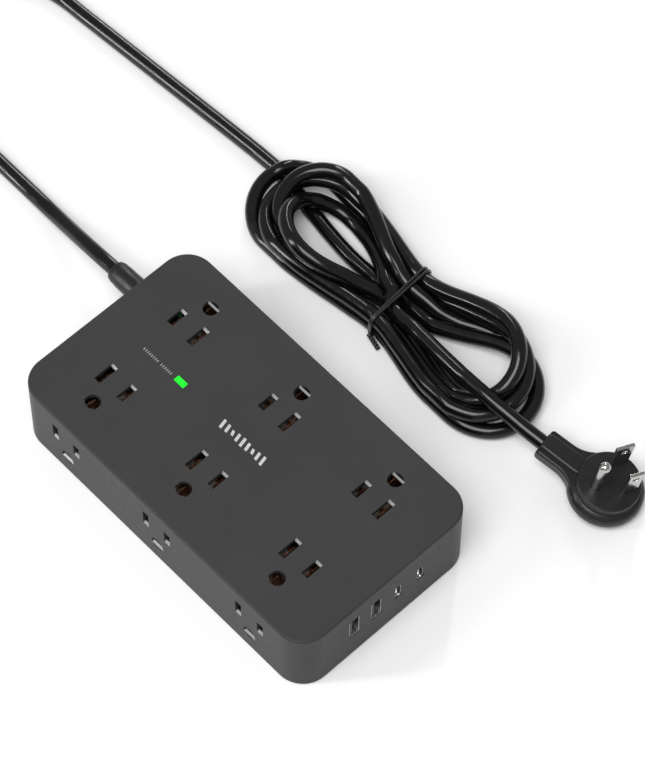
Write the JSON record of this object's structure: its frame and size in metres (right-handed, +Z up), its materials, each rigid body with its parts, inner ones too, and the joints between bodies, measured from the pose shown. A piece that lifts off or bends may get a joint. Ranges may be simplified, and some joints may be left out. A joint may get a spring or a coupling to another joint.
{
  "type": "surge protector power strip",
  "caption": "Flat black desk power strip with outlets on the top and both long sides, charging ports in the front, a tied mains cord and a low-profile plug.",
  "frame": {"origin": "middle of the case, at the level of the feet it stands on (the free cord and its plug are left out)", "axes": "+Z up; +Y along the case's length, towards the end where the cord leaves; -Y is the end with the charging ports"},
  "size_m": [0.1784, 0.3967, 0.038],
  "materials": {
    "housing": "fine-grained matte black moulding",
    "cover": "fine-grained matte black moulding",
    "black_plastic": "satin black moulding",
    "foot_rubber": "matte black rubber",
    "screw_steel": "zinc-plated steel",
    "lamp_green": "lit green light pipe",
    "lamp_clear": "clear resin lamp",
    "insulator": "natural heat-resistant moulding",
    "contact_brass": "stamped brass sheet",
    "contact_copper": "stamped copper alloy sheet",
    "board": "green circuit board",
    "varistor_blue": "dipped blue epoxy",
    "ceramic": "glazed ceramic",
    "capacitor_yellow": "yellow box capacitor",
    "transformer": "ferrite core with yellow tape",
    "capacitor_sleeve": "shrink sleeve",
    "port_steel": "nickel-plated steel shell",
    "port_tongue": "white moulded tongue",
    "wire_black": "insulated wire",
    "wire_white": "insulated wire",
    "wire_green": "insulated wire",
    "moulded_rubber": "glossy black moulded vinyl",
    "cord_jacket": "glossy black vinyl jacket",
    "tie": "black coated wire tie",
    "plug_metal": "nickel-plated brass"
  },
  "bodies": {
    "root": {"top_housing": "housing", "bottom_cover": "cover", "rubber_feet": "foot_rubber", "case_screws": "screw_steel", "indicator_lens": "lamp_green", "indicator_lamp": "lamp_clear", "left_contact_tray": "insulator", "right_contact_tray": "insulator", "left_side_holder": "insulator", "right_side_holder": "insulator", "hot_bus_top_left": "contact_copper", "neutral_bus_top_left": "contact_brass", "ground_bus_top_left": "contact_brass", "hot_bus_top_right": "contact_copper", "neutral_bus_top_right": "contact_brass", "ground_bus_top_right": "contact_brass", "hot_bus_side_left": "contact_copper", "neutral_bus_side_left": "contact_brass", "ground_bus_side_left": "contact_brass", "hot_bus_side_right": "contact_copper", "neutral_bus_side_right": "contact_brass", "ground_bus_side_right": "contact_brass", "surge_board": "board", "varistors": "varistor_blue", "thermal_fuse": "ceramic", "filter_capacitor": "capacitor_yellow", "usb_power_board": "board", "usb_port_board": "board", "usb_transformer": "transformer", "usb_capacitors": "capacitor_sleeve", "usb_a_shell_1": "port_steel", "usb_a_shell_2": "port_steel", "usb_a_tongue_1": "port_tongue", "usb_a_tongue_2": "port_tongue", "usb_c_port_1": "port_steel", "usb_c_port_2": "port_steel", "breaker_body": "black_plastic", "breaker_nut": "housing", "breaker_terminals": "contact_brass", "line_wire": "wire_black", "neutral_wire": "wire_white", "ground_wire": "wire_green", "breaker_wire": "wire_black", "hot_jumpers": "wire_black", "neutral_jumpers": "wire_white", "ground_jumpers": "wire_green", "cord_clamp": "black_plastic", "clamp_screws": "screw_steel", "cord_gland": "moulded_rubber", "cord_stub": "cord_jacket", "cord_run": "cord_jacket", "cord_hank": "cord_jacket", "hank_tie": "tie", "cord_tail": "cord_jacket", "plug_body": "moulded_rubber", "plug_neck": "moulded_rubber", "plug_hot_blade": "plug_metal", "plug_neutral_blade": "plug_metal", "plug_ground_pin": "plug_metal"},
    "reset_button": {"breaker_button": "black_plastic"}
  },
  "joints": [
    {"name": "breaker_reset", "type": "slide", "parent": "root", "child": "reset_button", "axis": [0, 1, 0], "range_m": [0, 0.003]}
  ]
}
